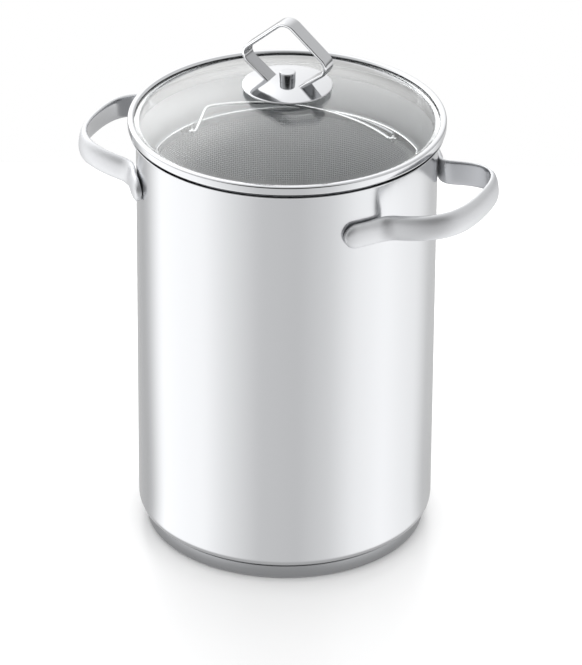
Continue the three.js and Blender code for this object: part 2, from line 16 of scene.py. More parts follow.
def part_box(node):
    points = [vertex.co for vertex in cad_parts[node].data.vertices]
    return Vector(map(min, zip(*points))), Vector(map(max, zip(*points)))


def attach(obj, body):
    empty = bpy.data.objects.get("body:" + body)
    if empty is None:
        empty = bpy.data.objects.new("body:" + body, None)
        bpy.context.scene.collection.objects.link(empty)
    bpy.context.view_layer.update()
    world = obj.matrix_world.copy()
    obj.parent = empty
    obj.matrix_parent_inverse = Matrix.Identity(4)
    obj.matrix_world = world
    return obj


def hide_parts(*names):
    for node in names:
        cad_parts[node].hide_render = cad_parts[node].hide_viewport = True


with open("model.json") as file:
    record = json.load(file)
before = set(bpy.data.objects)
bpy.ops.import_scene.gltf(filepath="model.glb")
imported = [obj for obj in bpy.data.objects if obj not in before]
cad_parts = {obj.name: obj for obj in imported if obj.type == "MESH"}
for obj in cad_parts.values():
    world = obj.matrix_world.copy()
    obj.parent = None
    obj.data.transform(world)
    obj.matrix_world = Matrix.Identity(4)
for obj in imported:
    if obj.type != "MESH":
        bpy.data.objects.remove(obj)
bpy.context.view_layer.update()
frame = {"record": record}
MM = 0.001

# %% [markdown]
# ## From points to a piece
# Every piece here is a list of points and a list of faces. One function makes the mesh, points its faces
# outwards, shades it smooth but keeps real edges sharp, gives it its finish, hangs it on the body that its
# CAD node moves with and hides that node. The record knows which body the node moves with.

# %% Make a piece
record = frame["record"]
body_with = {node: body for body, nodes in record["behaviour"]["bodies"].items() for node in nodes}


def make_piece(name, points, faces, finish, node, sharp_angle=35):
    mesh = bpy.data.meshes.new(name)
    mesh.from_pydata([Vector(point) * MM for point in points], [], faces)
    shape = bmesh.new()
    shape.from_mesh(mesh)
    bmesh.ops.recalc_face_normals(shape, faces=shape.faces)
    shape.to_mesh(mesh)
    shape.free()
    mesh.shade_smooth()
    mesh.set_sharp_from_angle(angle=math.radians(sharp_angle))
    mesh.materials.append(finish)
    piece = bpy.data.objects.new(name, mesh)
    bpy.context.collection.objects.link(piece)
    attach(piece, body_with[node])
    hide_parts(node)
    print(name, len(mesh.polygons), "faces")
    return piece


# %% [markdown]
# ## Soft corners
# Sheet metal and wire never have knife edges: each corner is a small bend. This function takes the corners
# of an outline or of a path, each with the distance at which its bend starts, and draws the bend as a short
# curve. It works the same in two dimensions and in three.

# %% Soften corners
# Where the bends of cut edges start: a sheet's edge, a finer one, and the edge of a hole
EDGE = 0.3
FINE_EDGE = 0.2
HOLE_EDGE = 0.15


def soften(corners, closed=True, steps=6):
    path = []
    last = len(corners) - 1
    for place, (corner, setback) in enumerate(corners):
        corner = Vector(corner)
        if setback == 0 or (not closed and place in (0, last)):
            path.append(corner)
            continue
        before = Vector(corners[place - 1][0])
        after = Vector(corners[(place + 1) % len(corners)][0])
        start = corner + (before - corner).normalized() * setback
        end = corner + (after - corner).normalized() * setback
        for step in range(steps + 1):
            share = step / steps
            path.append((1 - share) ** 2 * start + 2 * share * (1 - share) * corner + share**2 * end)
    return path


# %% [markdown]
# ## Turned pieces
# Most of the pot is round. A round piece is an outline of radius and height, turned about the upright axis,
# just as the sheet is pressed or spun in the factory. Many steps keep the silhouette round in a close view.
# Where the outline meets the axis, the ring of points closes to one.

# %% Turn an outline
ROUND_STEPS = 240
SMALL_ROUND_STEPS = 96


def turned(outline, closed=True, steps=ROUND_STEPS):
    points = []
    rings = []
    for radius, height in outline:
        if radius == 0:
            rings.append([len(points)] * steps)
            points.append((0, 0, height))
            continue
        rings.append(range(len(points), len(points) + steps))
        for step in range(steps):
            turn = 2 * math.pi * step / steps
            points.append((radius * math.cos(turn), radius * math.sin(turn), height))
    faces = []
    for low, high in zip(rings, rings[1:] + rings[:1] if closed else rings[1:]):
        for here in range(steps):
            beside = (here + 1) % steps
            corners = dict.fromkeys([low[here], low[beside], high[beside], high[here]])
            if len(corners) > 2:
                faces.append(list(corners))
    return points, faces


# Radius, lowest and highest point of a round CAD piece, in millimetres
def round_size(node):
    lowest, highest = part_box(node)
    return highest.x / MM, lowest.z / MM, highest.z / MM


# %% [markdown]
# ## Skins along a path
# Straps and wires are drawn along a path instead. At each stop on the path there is a ring of points, and the
# skin joins one ring to the next and closes both ends.

# %% Skin a row of rings


def skinned(rings):
    size = len(rings[0])
    points = [point for ring in rings for point in ring]
    faces = []
    for ring in range(len(rings) - 1):
        for side in range(size):
            a = ring * size + side
            b = ring * size + (side + 1) % size
            faces.append([a, b, b + size, a + size])
    faces.append(list(range(size))[::-1])
    faces.append(list(range(len(points) - size, len(points))))
    return points, faces


def directions(path):
    last = len(path) - 1
    return [(path[min(place + 1, last)] - path[max(place - 1, 0)]).normalized() for place in range(last + 1)]


def wire_rings(path, radius, sides):
    rings = []
    for point, along in zip(path, directions(path)):
        across = along.cross(Vector((0, 0, 1))).normalized()
        over = across.cross(along)
        turns = [2 * math.pi * side / sides for side in range(sides)]
        rings.append([point + radius * (across * math.cos(turn) + over * math.sin(turn)) for turn in turns])
    return rings


# %% [markdown]
# ## Finishes
# A finish is a small tree of shader nodes. Colours are written the way a colour picker shows them and turned
# into linear light by one function. Another function adds a node, sets it up and links it, so that each
# finish below reads as a short recipe.

# %% Colour and node helpers


def colour(code):
    channels = [int(code[place : place + 2], 16) / 255 for place in (1, 3, 5)]
    linear = [c / 12.92 if c <= 0.04045 else ((c + 0.055) / 1.055) ** 2.4 for c in channels]
    return (*linear, 1.0)


def set_sockets(tree, node, sockets):
    for name, value in sockets.items():
        if isinstance(value, bpy.types.NodeSocket):
            tree.links.new(value, node.inputs[name])
        else:
            node.inputs[name].default_value = value


def add_node(tree, kind, sockets, **settings):
    node = tree.nodes.new(kind)
    for name, value in settings.items():
        setattr(node, name, value)
    set_sockets(tree, node, sockets)
    return node


# %% [markdown]
# ## Stainless steel
# All the metal that shows is stainless steel, and only its surface differs. Steel is told apart by how
# sharply it mirrors the room: polished sheet almost like a mirror, a satin strap only as soft patches of
# light. The fine grain left by polishing runs in one direction, so the noise behind it is stretched along
# that direction. It changes the roughness a little and tilts the surface a very little. Real grain is finer
# than the picture can show, so it is drawn a few tenths of a millimetre wide.

# %% Steel recipe
GRAIN_DEPTH = 0.02
# Most of the noise lies between these values
NOISE_LOW = 0.3
NOISE_HIGH = 0.7


def steel(name, tint, roughness, grain_mm, relief):
    material = bpy.data.materials.new(name)
    material.use_nodes = True
    tree = material.node_tree
    place = add_node(tree, "ShaderNodeTexCoord", {})
    stretch = add_node(
        tree,
        "ShaderNodeMapping",
        {"Vector": place.outputs["Object"], "Scale": [1 / (size * MM) for size in grain_mm]},
    )
    grain = add_node(
        tree,
        "ShaderNodeTexNoise",
        {"Vector": stretch.outputs["Vector"], "Scale": 1.0, "Detail": 3.0},
    )
    dullness = add_node(
        tree,
        "ShaderNodeMapRange",
        {
            "Value": grain.outputs["Fac"],
            "From Min": NOISE_LOW,
            "From Max": NOISE_HIGH,
            "To Min": roughness[0],
            "To Max": roughness[1],
        },
    )
    tilt = add_node(
        tree,
        "ShaderNodeBump",
        {"Height": grain.outputs["Fac"], "Strength": relief, "Distance": GRAIN_DEPTH * MM},
    )
    set_sockets(
        tree,
        tree.nodes["Principled BSDF"],
        {
            "Base Color": colour(tint),
            "Metallic": 1.0,
            "Roughness": dullness.outputs["Result"],
            "Normal": tilt.outputs["Normal"],
        },
    )
    return material


# Polished sheet of the pot: a soft mirror, with faint upright polishing lines
polished_sheet = steel("polished_sheet_steel", "#C1C2C4", (0.16, 0.22), (0.5, 0.5, 45.0), 0.04)
# Inside of the pot: brushed matte, so it spreads light instead of mirroring it; its tint is painted light,
# far lighter than the outside's
lightened_satin_inside = steel("satin_sheet_steel_painted_light", "#EEEFF1", (0.62, 0.72), (0.5, 0.5, 12.0), 0.1)
# Polished pressings of the lid and basket: a sharper mirror
bright_pressing = steel("bright_pressed_steel", "#B5B6B8", (0.07, 0.12), (0.4, 0.4, 0.4), 0.03)
# Rolled bead of the lid's band: polished brighter than the pressings
polished_bead = steel("polished_bead_steel", "#C2C3C5", (0.08, 0.14), (0.4, 0.4, 0.4), 0.03)
# Tumbled straps of the handles: soft patches of light and no sharp image
satin_strap = steel("satin_strap_steel", "#CACBCD", (0.46, 0.56), (0.35, 0.35, 0.35), 0.15)
# Flat inside of the side handles: left as polished strip, so it mirrors the table in stripes
polished_inside = steel("polished_strip_steel", "#C6C7C9", (0.14, 0.2), (0.35, 0.35, 0.35), 0.05)
# Inside of the lid's bent strap: a darker tint as painted shade, so it is darker than the edges
shaded_loop_inside = steel("strap_inside_painted_shade_steel", "#A2A3A5", (0.12, 0.18), (0.35, 0.35, 6.0), 0.1)
# Edges of the bent strap and the basket's top folded channel: a lighter tint as painted highlight, so they
# are the brightest lines
highlighted_edge = steel("edge_steel_painted_highlight", "#E8E9EB", (0.08, 0.14), (0.35, 0.35, 0.35), 0.03)
# Base cap turned on a lathe: fine level lines round it
turned_base = steel("turned_base_steel", "#9B9C9E", (0.34, 0.46), (6.0, 6.0, 0.2), 0.08)
# Drawn wire: smooth, with faint lines from the drawing die
drawn_wire = steel("drawn_steel_wire", "#D7D8DA", (0.14, 0.22), (0.3, 0.3, 0.3), 0.05)
# Thin wire of the mesh: duller, because it is never polished; its tint is painted light, lighter than the
# other steel, for the dim inside of the pot
lightened_mesh_wire = steel("mesh_steel_wire_painted_light", "#EDEEF0", (0.3, 0.42), (0.3, 0.3, 0.3), 0.05)
# Aluminium inside the base: pale, with a rolled grain
rolled_aluminium = steel("rolled_aluminium", "#D5D6D8", (0.35, 0.5), (20.0, 0.3, 0.3), 0.2)
print("metal finishes:", [material.name for material in bpy.data.materials if material.users == 0])

# %% [markdown]
# ## Glass and silicone
# The lid is pressed soda-lime glass. It bends light at an index of about 1.52 and is clear, with a very faint
# green cast that shows at its edge. Pressing leaves a slow waviness that makes reflections look real. In
# shadow rays the glass is simply clear, so the light reaches the basket without noise. The pads on both sides
# of the glass are dark silicone rubber: matte, with a fine grain.

# %% Glass and silicone recipes


def wavy_surface(name, wave_mm, relief, depth_mm, shader_values):
    material = bpy.data.materials.new(name)
    material.use_nodes = True
    tree = material.node_tree
    place = add_node(tree, "ShaderNodeTexCoord", {})
    wave = add_node(
        tree,
        "ShaderNodeTexNoise",
        {"Vector": place.outputs["Object"], "Scale": 1 / (wave_mm * MM), "Detail": 1.0},
    )
    tilt = add_node(
        tree,
        "ShaderNodeBump",
        {"Height": wave.outputs["Fac"], "Strength": relief, "Distance": depth_mm * MM},
    )
    set_sockets(
        tree,
        tree.nodes["Principled BSDF"],
        {**shader_values, "Normal": tilt.outputs["Normal"]},
    )
    return material


pressed_glass = wavy_surface(
    "pressed_soda_lime_glass",
    wave_mm=25,
    relief=0.1,
    depth_mm=0.05,
    shader_values={
        "Base Color": colour("#FEFFFE"),
        "Roughness": 0.0,
        "IOR": 1.52,
        "Transmission Weight": 1.0,
    },
)
glass_tree = pressed_glass.node_tree
light_path = add_node(glass_tree, "ShaderNodeLightPath", {})
through = add_node(glass_tree, "ShaderNodeBsdfTransparent", {"Color": colour("#FAFCFB")})
shadow_mix = add_node(
    glass_tree,
    "ShaderNodeMixShader",
    {
        "Fac": light_path.outputs["Is Shadow Ray"],
        1: glass_tree.nodes["Principled BSDF"].outputs["BSDF"],
        2: through.outputs["BSDF"],
    },
)
set_sockets(glass_tree, glass_tree.nodes["Material Output"], {"Surface": shadow_mix.outputs["Shader"]})
silicone_pad = wavy_surface(
    "dark_silicone_rubber",
    wave_mm=0.4,
    relief=0.4,
    depth_mm=0.03,
    shader_values={"Base Color": colour("#2B2C2E"), "Roughness": 0.55, "IOR": 1.41},
)
print("glass and silicone ready")

# %% [markdown]
# ## The pot and its base
# The pot is drawn from one round sheet, 0.8 mm thick, so its outline is a thin line: floor, round corner,
# straight wall and a lip turned outwards. The lip is drawn a little wider and lower than the solid's, so that
# the dark slot between pot and lid shows. Its inside is satin and tinted much lighter as painted light, so
# the faces that look inwards get their own material. Under the pot a flatter cup closes the aluminium core.

# %% Pot shell and base
lip_r, pot_low, rim_z = round_size("pot_shell")
POT_WALL = 0.8
POT_CORNER = 7
POT_FLARE = 2.4
LIP_BEND = 1.2
LIP_SPREAD = 1
LIP_DROP = 1.4
pot_r = lip_r - POT_FLARE
tip_r = lip_r + LIP_SPREAD
tip_z = rim_z - LIP_DROP
pot_outline = soften(
    [
        ((0, pot_low), 0),
        ((pot_r, pot_low), POT_CORNER),
        ((pot_r, tip_z - POT_WALL), LIP_BEND),
        ((tip_r, tip_z - POT_WALL), EDGE),
        ((tip_r, tip_z), EDGE),
        ((pot_r - POT_WALL, tip_z), LIP_BEND + POT_WALL),
        ((pot_r - POT_WALL, pot_low + POT_WALL), POT_CORNER - POT_WALL),
        ((0, pot_low + POT_WALL), 0),
    ],
    closed=False,
    steps=8,
)
pot_skin = make_piece("pot_shell_skin", *turned(pot_outline, closed=False), polished_sheet, "pot_shell")
# The inward faces take the lighter satin, painted light for the inside of the pot
pot_skin.data.materials.append(lightened_satin_inside)
pot_middle = Vector((0, 0, rim_z / 2)) * MM
for face in pot_skin.data.polygons:
    if face.normal.dot(pot_middle - face.center) > 0:
        face.material_index = 1

cap_r, cap_low, cap_top = round_size("base_cap")
CAP_WALL = 0.6
CAP_CORNER = 2.5
CAP_EDGE = 0.25
cap_outline = soften(
    [
        ((0, cap_low), 0),
        ((cap_r, cap_low), CAP_CORNER),
        ((cap_r, cap_top), CAP_EDGE),
        ((cap_r - CAP_WALL, cap_top), CAP_EDGE),
        ((cap_r - CAP_WALL, cap_low + CAP_WALL), CAP_CORNER - CAP_WALL),
        ((0, cap_low + CAP_WALL), 0),
    ],
    closed=False,
)
make_piece("base_cap_skin", *turned(cap_outline, closed=False), turned_base, "base_cap")

core_r, core_low, core_top = round_size("base_core")
core_outline = soften(
    [
        ((0, core_low), 0),
        ((core_r, core_low), CAP_CORNER - CAP_WALL),
        ((core_r, core_top), FINE_EDGE),
        ((0, core_top), 0),
    ],
    closed=False,
)
make_piece("base_core_skin", *turned(core_outline, closed=False), rolled_aluminium, "base_core")

# %% [markdown]
# ## Side handles
# Each handle is one forged strap. Its two feet lie against the wall, the strap bends away from the wall, and
# the loop leans up a little towards its outer end. The section is flat towards the pot and crowned outwards,
# so that it feels round in the hand. One half of the path is drawn and then mirrored. The flat inside keeps
# the polish of the strip that the handle was made from, and the outside is tumbled to a satin.

# %% Strap path and section
# Air between two pieces that touch on the real pot
GAP = 0.3
STRAP_WIDTH = 14
STRAP_INNER = 1.6
STRAP_CROWN = 2.6
EDGE_FULLNESS = 0.85
STRAP_SPREAD = 36.5
STRAP_BEND = 6.2
FOOT_LENGTH = 18.1
FOOT_DROP = 28.5
LEAN = math.radians(9)
STRAP_REACH = 36.37
# How far the curve of the outer end is pulled outwards and sideways, as shares of its size
END_PULL_OUT = 0.85
END_PULL_ASIDE = 0.6
foot_z = rim_z - FOOT_DROP
foot_r = pot_r + GAP + STRAP_INNER
print("middle of the handles' feet in mm: radius", round(foot_r, 2), "height", round(foot_z, 2))


def on_wall(angle):
    return Vector((foot_r * math.cos(angle), foot_r * math.sin(angle)))


def curve_points(controls, steps):
    degree = len(controls) - 1
    points = []
    for step in range(steps + 1):
        share = step / steps
        weights = [math.comb(degree, k) * share**k * (1 - share) ** (degree - k) for k in range(degree + 1)]
        points.append(sum((Vector(c) * w for c, w in zip(controls, weights)), Vector((0, 0))))
    return points


# Half of the path seen from above, from a foot's tip to the outer end, with the share of the width left there
def half_strap(tip_steps=17, foot_steps=6, bend_steps=16, end_steps=40):
    leave_angle = math.asin((STRAP_SPREAD + STRAP_BEND) / foot_r)
    tip_angle = leave_angle + FOOT_LENGTH / foot_r
    round_r = STRAP_WIDTH / 2
    stops = []
    for step in range(tip_steps):
        turn = math.pi / 2 * (step + 0.5) / (tip_steps - 0.5)
        angle = tip_angle - round_r * (1 - math.cos(turn)) / foot_r
        stops.append((on_wall(angle), math.sin(turn)))
    start_angle = tip_angle - round_r / foot_r
    for step in range(1, foot_steps):
        stops.append((on_wall(start_angle + (leave_angle - start_angle) * step / foot_steps), 1))
    leave = on_wall(leave_angle)
    slope = Vector((math.sin(leave_angle), -math.cos(leave_angle)))
    to_leg = (leave.y - STRAP_SPREAD) / -slope.y
    bend = leave + slope * to_leg
    leg = Vector((bend.x + to_leg, STRAP_SPREAD))
    end = Vector((pot_r + STRAP_REACH - STRAP_CROWN, 0))
    near_end = Vector((leg.x + END_PULL_OUT * (end.x - leg.x), STRAP_SPREAD))
    round_end = [leg, near_end, Vector((end.x, END_PULL_ASIDE * STRAP_SPREAD)), end]
    turn_in = curve_points([leave, bend, leg], bend_steps)
    return stops + [(point, 1) for point in turn_in + curve_points(round_end, end_steps)[1:]]


# Place across the strap and place out from its middle, round the section
def strap_section(sides=40):
    section = []
    for side in range(sides):
        turn = 2 * math.pi * (side + 0.5) / sides
        c, s = math.cos(turn), math.sin(turn)
        across = math.copysign(abs(c) ** EDGE_FULLNESS, c) * STRAP_WIDTH / 2
        out = STRAP_CROWN * s if s > 0 else -STRAP_INNER * math.sqrt(abs(s))
        section.append((across, out))
    return section


# %% Side handles
half = half_strap()
stops = half + [(Vector((point.x, -point.y)), width) for point, width in half[-2::-1]]
rise_start = math.sqrt(pot_r**2 - (STRAP_SPREAD + STRAP_BEND) ** 2)
EASING = STRAP_WIDTH / 2
rings = []
for (point, width), along in zip(stops, directions([point for point, _ in stops])):
    out = max(0, point.x - rise_start)
    rise = math.tan(LEAN) * (out**2 / (2 * EASING) if out < EASING else out - EASING / 2)
    lean = LEAN * min(1, out / EASING)
    up = Vector((-math.sin(lean), 0, math.cos(lean)))
    outward = up.cross(along.to_3d()).normalized()
    centre = Vector((point.x, point.y, foot_z + rise))
    ring = []
    for across, thick in strap_section():
        crowned = thick if thick < 0 else thick * math.sqrt(width)
        ring.append(centre + up * across * width + outward * crowned)
    rings.append(ring)
STRAP_SHARP = 50
right_strap = make_piece(
    "right_handle_strap", *skinned(rings), satin_strap, "side_handle_right", STRAP_SHARP
)
left_rings = [[Vector((-p.x, -p.y, p.z)) for p in ring] for ring in rings]
left_strap = make_piece(
    "left_handle_strap", *skinned(left_rings), satin_strap, "side_handle_left", STRAP_SHARP
)
# Faces within 50 degrees of looking inwards are the flat inside
INSIDE_TURN = math.cos(math.radians(50))
for strap, side in ((right_strap, 1), (left_strap, -1)):
    strap.data.materials.append(polished_inside)
    strap_middle = Vector((side * (pot_r + STRAP_REACH / 2) * MM, 0, 0))
    for face in strap.data.polygons:
        inwards = strap_middle - face.center
        inwards.z = 0
        if face.normal.dot(inwards.normalized()) > INSIDE_TURN:
            face.material_index = 1

# %% [markdown]
# ## The basket
# The basket's wall is plain woven wire. Upright wires stand side by side, each level wire passes in front of
# one upright and behind the next, and the level wire above it does the opposite. There are thousands of
# crossings, so each wire is drawn with four sides only. A folded channel grips the top edge and another the
# bottom edge, where a ledge carries a flat mesh floor of two layers.

# %% Woven wall and floor
wall_r, wall_low, wall_top = round_size("basket_wall")
WEAVE_PITCH = 1.3
WEAVE_WIRE_R = 0.2
WEAVE_DEPTH = 0.2
FOUR_SIDES = ((1, 0), (0, 1), (-1, 0), (0, -1))
weave_r = wall_r - WEAVE_DEPTH - WEAVE_WIRE_R
uprights = 2 * round(math.pi * weave_r / WEAVE_PITCH)
levels = int((wall_top - wall_low) / WEAVE_PITCH)


# Faces between two stops of a four-sided wire whose points start at a and b
def wire_sides(a, b):
    return [[a + k, a + (k + 1) % 4, b + (k + 1) % 4, b + k] for k in range(4)]


points = []
faces = []
for number in range(uprights):
    turn = 2 * math.pi * number / uprights
    out = Vector((math.cos(turn), math.sin(turn), 0))
    side = Vector((-math.sin(turn), math.cos(turn), 0))
    start = len(points)
    for height in (wall_low, wall_top):
        middle = out * weave_r + Vector((0, 0, height))
        points += [middle + (out * a + side * b) * WEAVE_WIRE_R for a, b in FOUR_SIDES]
    faces += wire_sides(start, start + 4)
for level in range(levels):
    height = wall_low + WEAVE_PITCH * (level + 0.5)
    start = len(points)
    for number in range(uprights):
        turn = 2 * math.pi * number / uprights
        radius = weave_r + WEAVE_DEPTH * (1 if (number + level) % 2 else -1)
        for step_out, step_up in FOUR_SIDES:
            r = radius + WEAVE_WIRE_R * step_out
            points.append((r * math.cos(turn), r * math.sin(turn), height + WEAVE_WIRE_R * step_up))
    for number in range(uprights):
        faces += wire_sides(start + 4 * number, start + 4 * ((number + 1) % uprights))
ALL_SMOOTH = 180
# The weave takes the lighter mesh tint, painted light for the inside of the pot
make_piece("basket_wall_weave", points, faces, lightened_mesh_wire, "basket_wall", ALL_SMOOTH)

floor_r, floor_low, floor_top = round_size("basket_floor")
UPPER_LAYER_DROP = 0.3
rows = int(2 * floor_r / WEAVE_PITCH)
points = []
faces = []
for row in range(1, rows):
    place = -floor_r + 2 * floor_r * row / rows
    reach = math.sqrt(floor_r**2 - place**2)
    for layer, lengthwise in ((floor_low + WEAVE_WIRE_R, True), (floor_top - UPPER_LAYER_DROP, False)):
        start = len(points)
        for end in (-reach, reach):
            for step_side, step_up in FOUR_SIDES:
                beside = place + WEAVE_WIRE_R * step_side
                height = layer + WEAVE_WIRE_R * step_up
                points.append((end, beside, height) if lengthwise else (beside, end, height))
        faces += wire_sides(start, start + 4)
make_piece("basket_floor_weave", points, faces, lightened_mesh_wire, "basket_floor", ALL_SMOOTH)

# %% Channels of the basket
basket_r, channel_low, basket_top = round_size("basket_rim")
CHANNEL_WALL = 0.7
CHANNEL_WIDTH = 2.8
CHANNEL_BEND = 1.1
basket_inner_r = basket_r - CHANNEL_WIDTH
pocket_z = basket_top - CHANNEL_WALL
rim_outline = soften(
    [
        ((basket_r, channel_low), EDGE),
        ((basket_r, basket_top), CHANNEL_BEND),
        ((basket_inner_r, basket_top), CHANNEL_BEND),
        ((basket_inner_r, channel_low), EDGE),
        ((basket_inner_r + CHANNEL_WALL, channel_low), EDGE),
        ((basket_inner_r + CHANNEL_WALL, pocket_z), EDGE),
        ((basket_r - CHANNEL_WALL, pocket_z), EDGE),
        ((basket_r - CHANNEL_WALL, channel_low), EDGE),
    ]
)
# The top channel takes the lighter edge tint, a painted highlight
make_piece("basket_rim_channel", *turned(rim_outline), highlighted_edge, "basket_rim")

_, foot_low, foot_top = round_size("basket_foot_ring")
LEDGE_WIDTH = 3.2
FOOT_BEND = 0.9
ledge_r = basket_inner_r - LEDGE_WIDTH
ledge_z = foot_low + CHANNEL_WALL
foot_outline = soften(
    [
        ((ledge_r, foot_low), FINE_EDGE),
        ((basket_r, foot_low), FOOT_BEND),
        ((basket_r, foot_top), EDGE),
        ((basket_r - CHANNEL_WALL, foot_top), EDGE),
        ((basket_r - CHANNEL_WALL, ledge_z), EDGE),
        ((basket_inner_r + CHANNEL_WALL, ledge_z), EDGE),
        ((basket_inner_r + CHANNEL_WALL, foot_top), EDGE),
        ((basket_inner_r, foot_top), EDGE),
        ((basket_inner_r, ledge_z), EDGE),
        ((ledge_r, ledge_z), FINE_EDGE),
    ]
)
make_piece("basket_foot_channel", *turned(foot_outline), bright_pressing, "basket_foot_ring")

# %% [markdown]
# ## Folding wire handles
# Two wire handles lift the basket out. Each is one bent wire with its ends in two small ears on the rim. When
# it is folded down it lies beside the rim and rests a little higher at one end. The path is drawn facing +Y
# and then turned to its place, and its bends are softened like those of a real wire.

# %% Wire handles
BAIL_WIRE_R = 1
HINGE_HALF_ANGLE = math.radians(52)
HINGE_INSET = 2.7
HINGE_DROP = 3
EAR_THICKNESS = 1.2
PIN_OVERHANG = 1.1
# The wire's arc round the rim: where it starts and how far it goes, in degrees
BAIL_START = -41.5
BAIL_SWEEP = 91
# At its start it lies outside and above the rim's inner edge, and along the arc it closes in and comes down
BAIL_OUTSIDE = 0.8
BAIL_CLOSE_IN = 3.5
BAIL_ABOVE = 6.8
BAIL_COME_DOWN = 11.3
BAIL_STEPS = 60
# Bends at the high pin, at the shoulder where the arc begins, and at the low end; the shoulder takes 3 steps
PIN_BEND = 1.5
SHOULDER_BEND = 3
SHOULDER_STEPS = 3
LOW_BEND = 1
hinge_r = basket_inner_r - HINGE_INSET
hinge_x = hinge_r * math.sin(HINGE_HALF_ANGLE)
hinge_y = hinge_r * math.cos(HINGE_HALF_ANGLE)
hinge_z = basket_top - HINGE_DROP
pin_half = EAR_THICKNESS / 2 + PIN_OVERHANG
# Which way the middle of each handle faces, in degrees round the pot
FACING = {"far": 111, "near": 291}


def bail_arc(share):
    turn = math.radians(BAIL_START + BAIL_SWEEP * share)
    radius = basket_inner_r + BAIL_OUTSIDE - BAIL_CLOSE_IN * share
    height = basket_top + BAIL_ABOVE - BAIL_COME_DOWN * share
    return Vector((radius * math.sin(turn), radius * math.cos(turn), height))


bail_corners = [
    (Vector((-hinge_x - pin_half, hinge_y, hinge_z)), 0),
    (Vector((-hinge_x + pin_half, hinge_y, hinge_z)), PIN_BEND),
    (bail_arc(0), SHOULDER_BEND),
    *[(bail_arc(step / BAIL_STEPS), 0) for step in range(SHOULDER_STEPS, BAIL_STEPS)],
    (bail_arc(1), LOW_BEND),
    (Vector((hinge_x - pin_half, hinge_y, hinge_z)), LOW_BEND),
    (Vector((hinge_x + pin_half, hinge_y, hinge_z)), 0),
]
bail_path = soften(bail_corners, closed=False)
for place, facing in FACING.items():
    turn_to = Matrix.Rotation(math.radians(facing - 90), 3, "Z")
    rings = wire_rings([turn_to @ point for point in bail_path], BAIL_WIRE_R, sides=16)
    node = f"basket_handle_{place}"
    make_piece(f"{node}_wire", *skinned(rings), drawn_wire, node, sharp_angle=60)

# %% [markdown]
# ## Ears
# An ear is a small tab with a round eye. Its outline is a half circle round the eye that runs on as a
# straight arm to the rim. Drawing it as a ring of points round the eye and a ring round the outline gives
# clean faces.

# %% Ears of the basket
EYE_PLAY = 0.25
EAR_RING = 1.2
EYE_R = BAIL_WIRE_R + EYE_PLAY
EAR_R = EYE_R + EAR_RING
EAR_STEPS = 48
NEARLY_LEVEL = 1e-6
arm_end = math.sqrt(basket_inner_r**2 - (hinge_x + EAR_THICKNESS / 2) ** 2) - hinge_y


def ear_edge(turn):
    out, up = math.cos(turn), math.sin(turn)
    if out <= 0:
        return EAR_R * out, EAR_R * up
    reach = min(arm_end / out, EAR_R / max(abs(up), NEARLY_LEVEL))
    return reach * out, reach * up


for place, facing in FACING.items():
    turn_to = Matrix.Rotation(math.radians(facing - 90), 3, "Z")
    for height, side in (("high", -1), ("low", 1)):
        rings = []
        for line, thick in (("eye", -1), ("edge", -1), ("edge", 1), ("eye", 1)):
            ring = []
            for step in range(EAR_STEPS):
                turn = 2 * math.pi * step / EAR_STEPS
                out, up = EYE_R * math.cos(turn), EYE_R * math.sin(turn)
                if line == "edge":
                    out, up = ear_edge(turn)
                x = side * hinge_x + thick * EAR_THICKNESS / 2
                ring.append(turn_to @ Vector((x, hinge_y + out, hinge_z + up)))
            rings.append(ring)
        points = [point for ring in rings for point in ring]
        faces = []
        for ring in range(4):
            for step in range(EAR_STEPS):
                a = ring * EAR_STEPS + step
                b = ring * EAR_STEPS + (step + 1) % EAR_STEPS
                after = ((ring + 1) % 4) * EAR_STEPS
                faces.append([a, b, after + (step + 1) % EAR_STEPS, after + step])
        node = f"basket_ear_{place}_{height}"
        make_piece(f"{node}_tab", points, faces, bright_pressing, node)

# %% [markdown]
# ## The glass lid
# The glass is a shallow dome of even thickness with a flat flange. Both its skins are modelled, because it is
# the two skins together that bend light the way a real lid does. A steel band is crimped round the flange: a
# round bead outside, a grip above, a seat below, and a skirt that hangs into the pot and keeps the lid in
# place.

# %% Glass and band
glass_r, glass_low, _ = round_size("lid_glass")
GLASS_THICKNESS = 2.8
GLASS_RISE = 19.4
GLASS_HOLE_R = 3.2
GLASS_EDGE = 0.8
FLANGE_WIDTH = 3.9
# The bend from flange to dome, and where the dome's own curve takes over
FLANGE_BEND = 1.5
DOME_START = 2.5
flange_z = glass_low + GLASS_THICKNESS
dome_r = glass_r - FLANGE_WIDTH
dome_sphere_r = (dome_r**2 + GLASS_RISE**2) / (2 * GLASS_RISE)
dome_centre_z = flange_z + GLASS_RISE - dome_sphere_r
inner_sphere_r = dome_sphere_r - GLASS_THICKNESS
inner_dome_r = math.sqrt(inner_sphere_r**2 - (glass_low - dome_centre_z) ** 2)


def dome_z(centre_z, sphere_r, radius):
    return centre_z + math.sqrt(sphere_r**2 - radius**2)


def dome_points(centre_z, sphere_r, from_r, to_r, steps=32):
    radii = [from_r + (to_r - from_r) * step / steps for step in range(steps + 1)]
    return [((radius, dome_z(centre_z, sphere_r, radius)), 0) for radius in radii]


glass_outline = soften(
    [
        ((glass_r, glass_low), GLASS_EDGE),
        ((glass_r, flange_z), GLASS_EDGE),
        ((dome_r, flange_z), FLANGE_BEND),
        *dome_points(dome_centre_z, dome_sphere_r, dome_r - DOME_START, GLASS_HOLE_R),
        *dome_points(dome_centre_z, inner_sphere_r, GLASS_HOLE_R, inner_dome_r - DOME_START),
        ((inner_dome_r, glass_low), FLANGE_BEND),
    ]
)
make_piece("lid_glass_dome", *turned(glass_outline), pressed_glass, "lid_glass")

band_r, skirt_z, band_top = round_size("lid_rim_band")
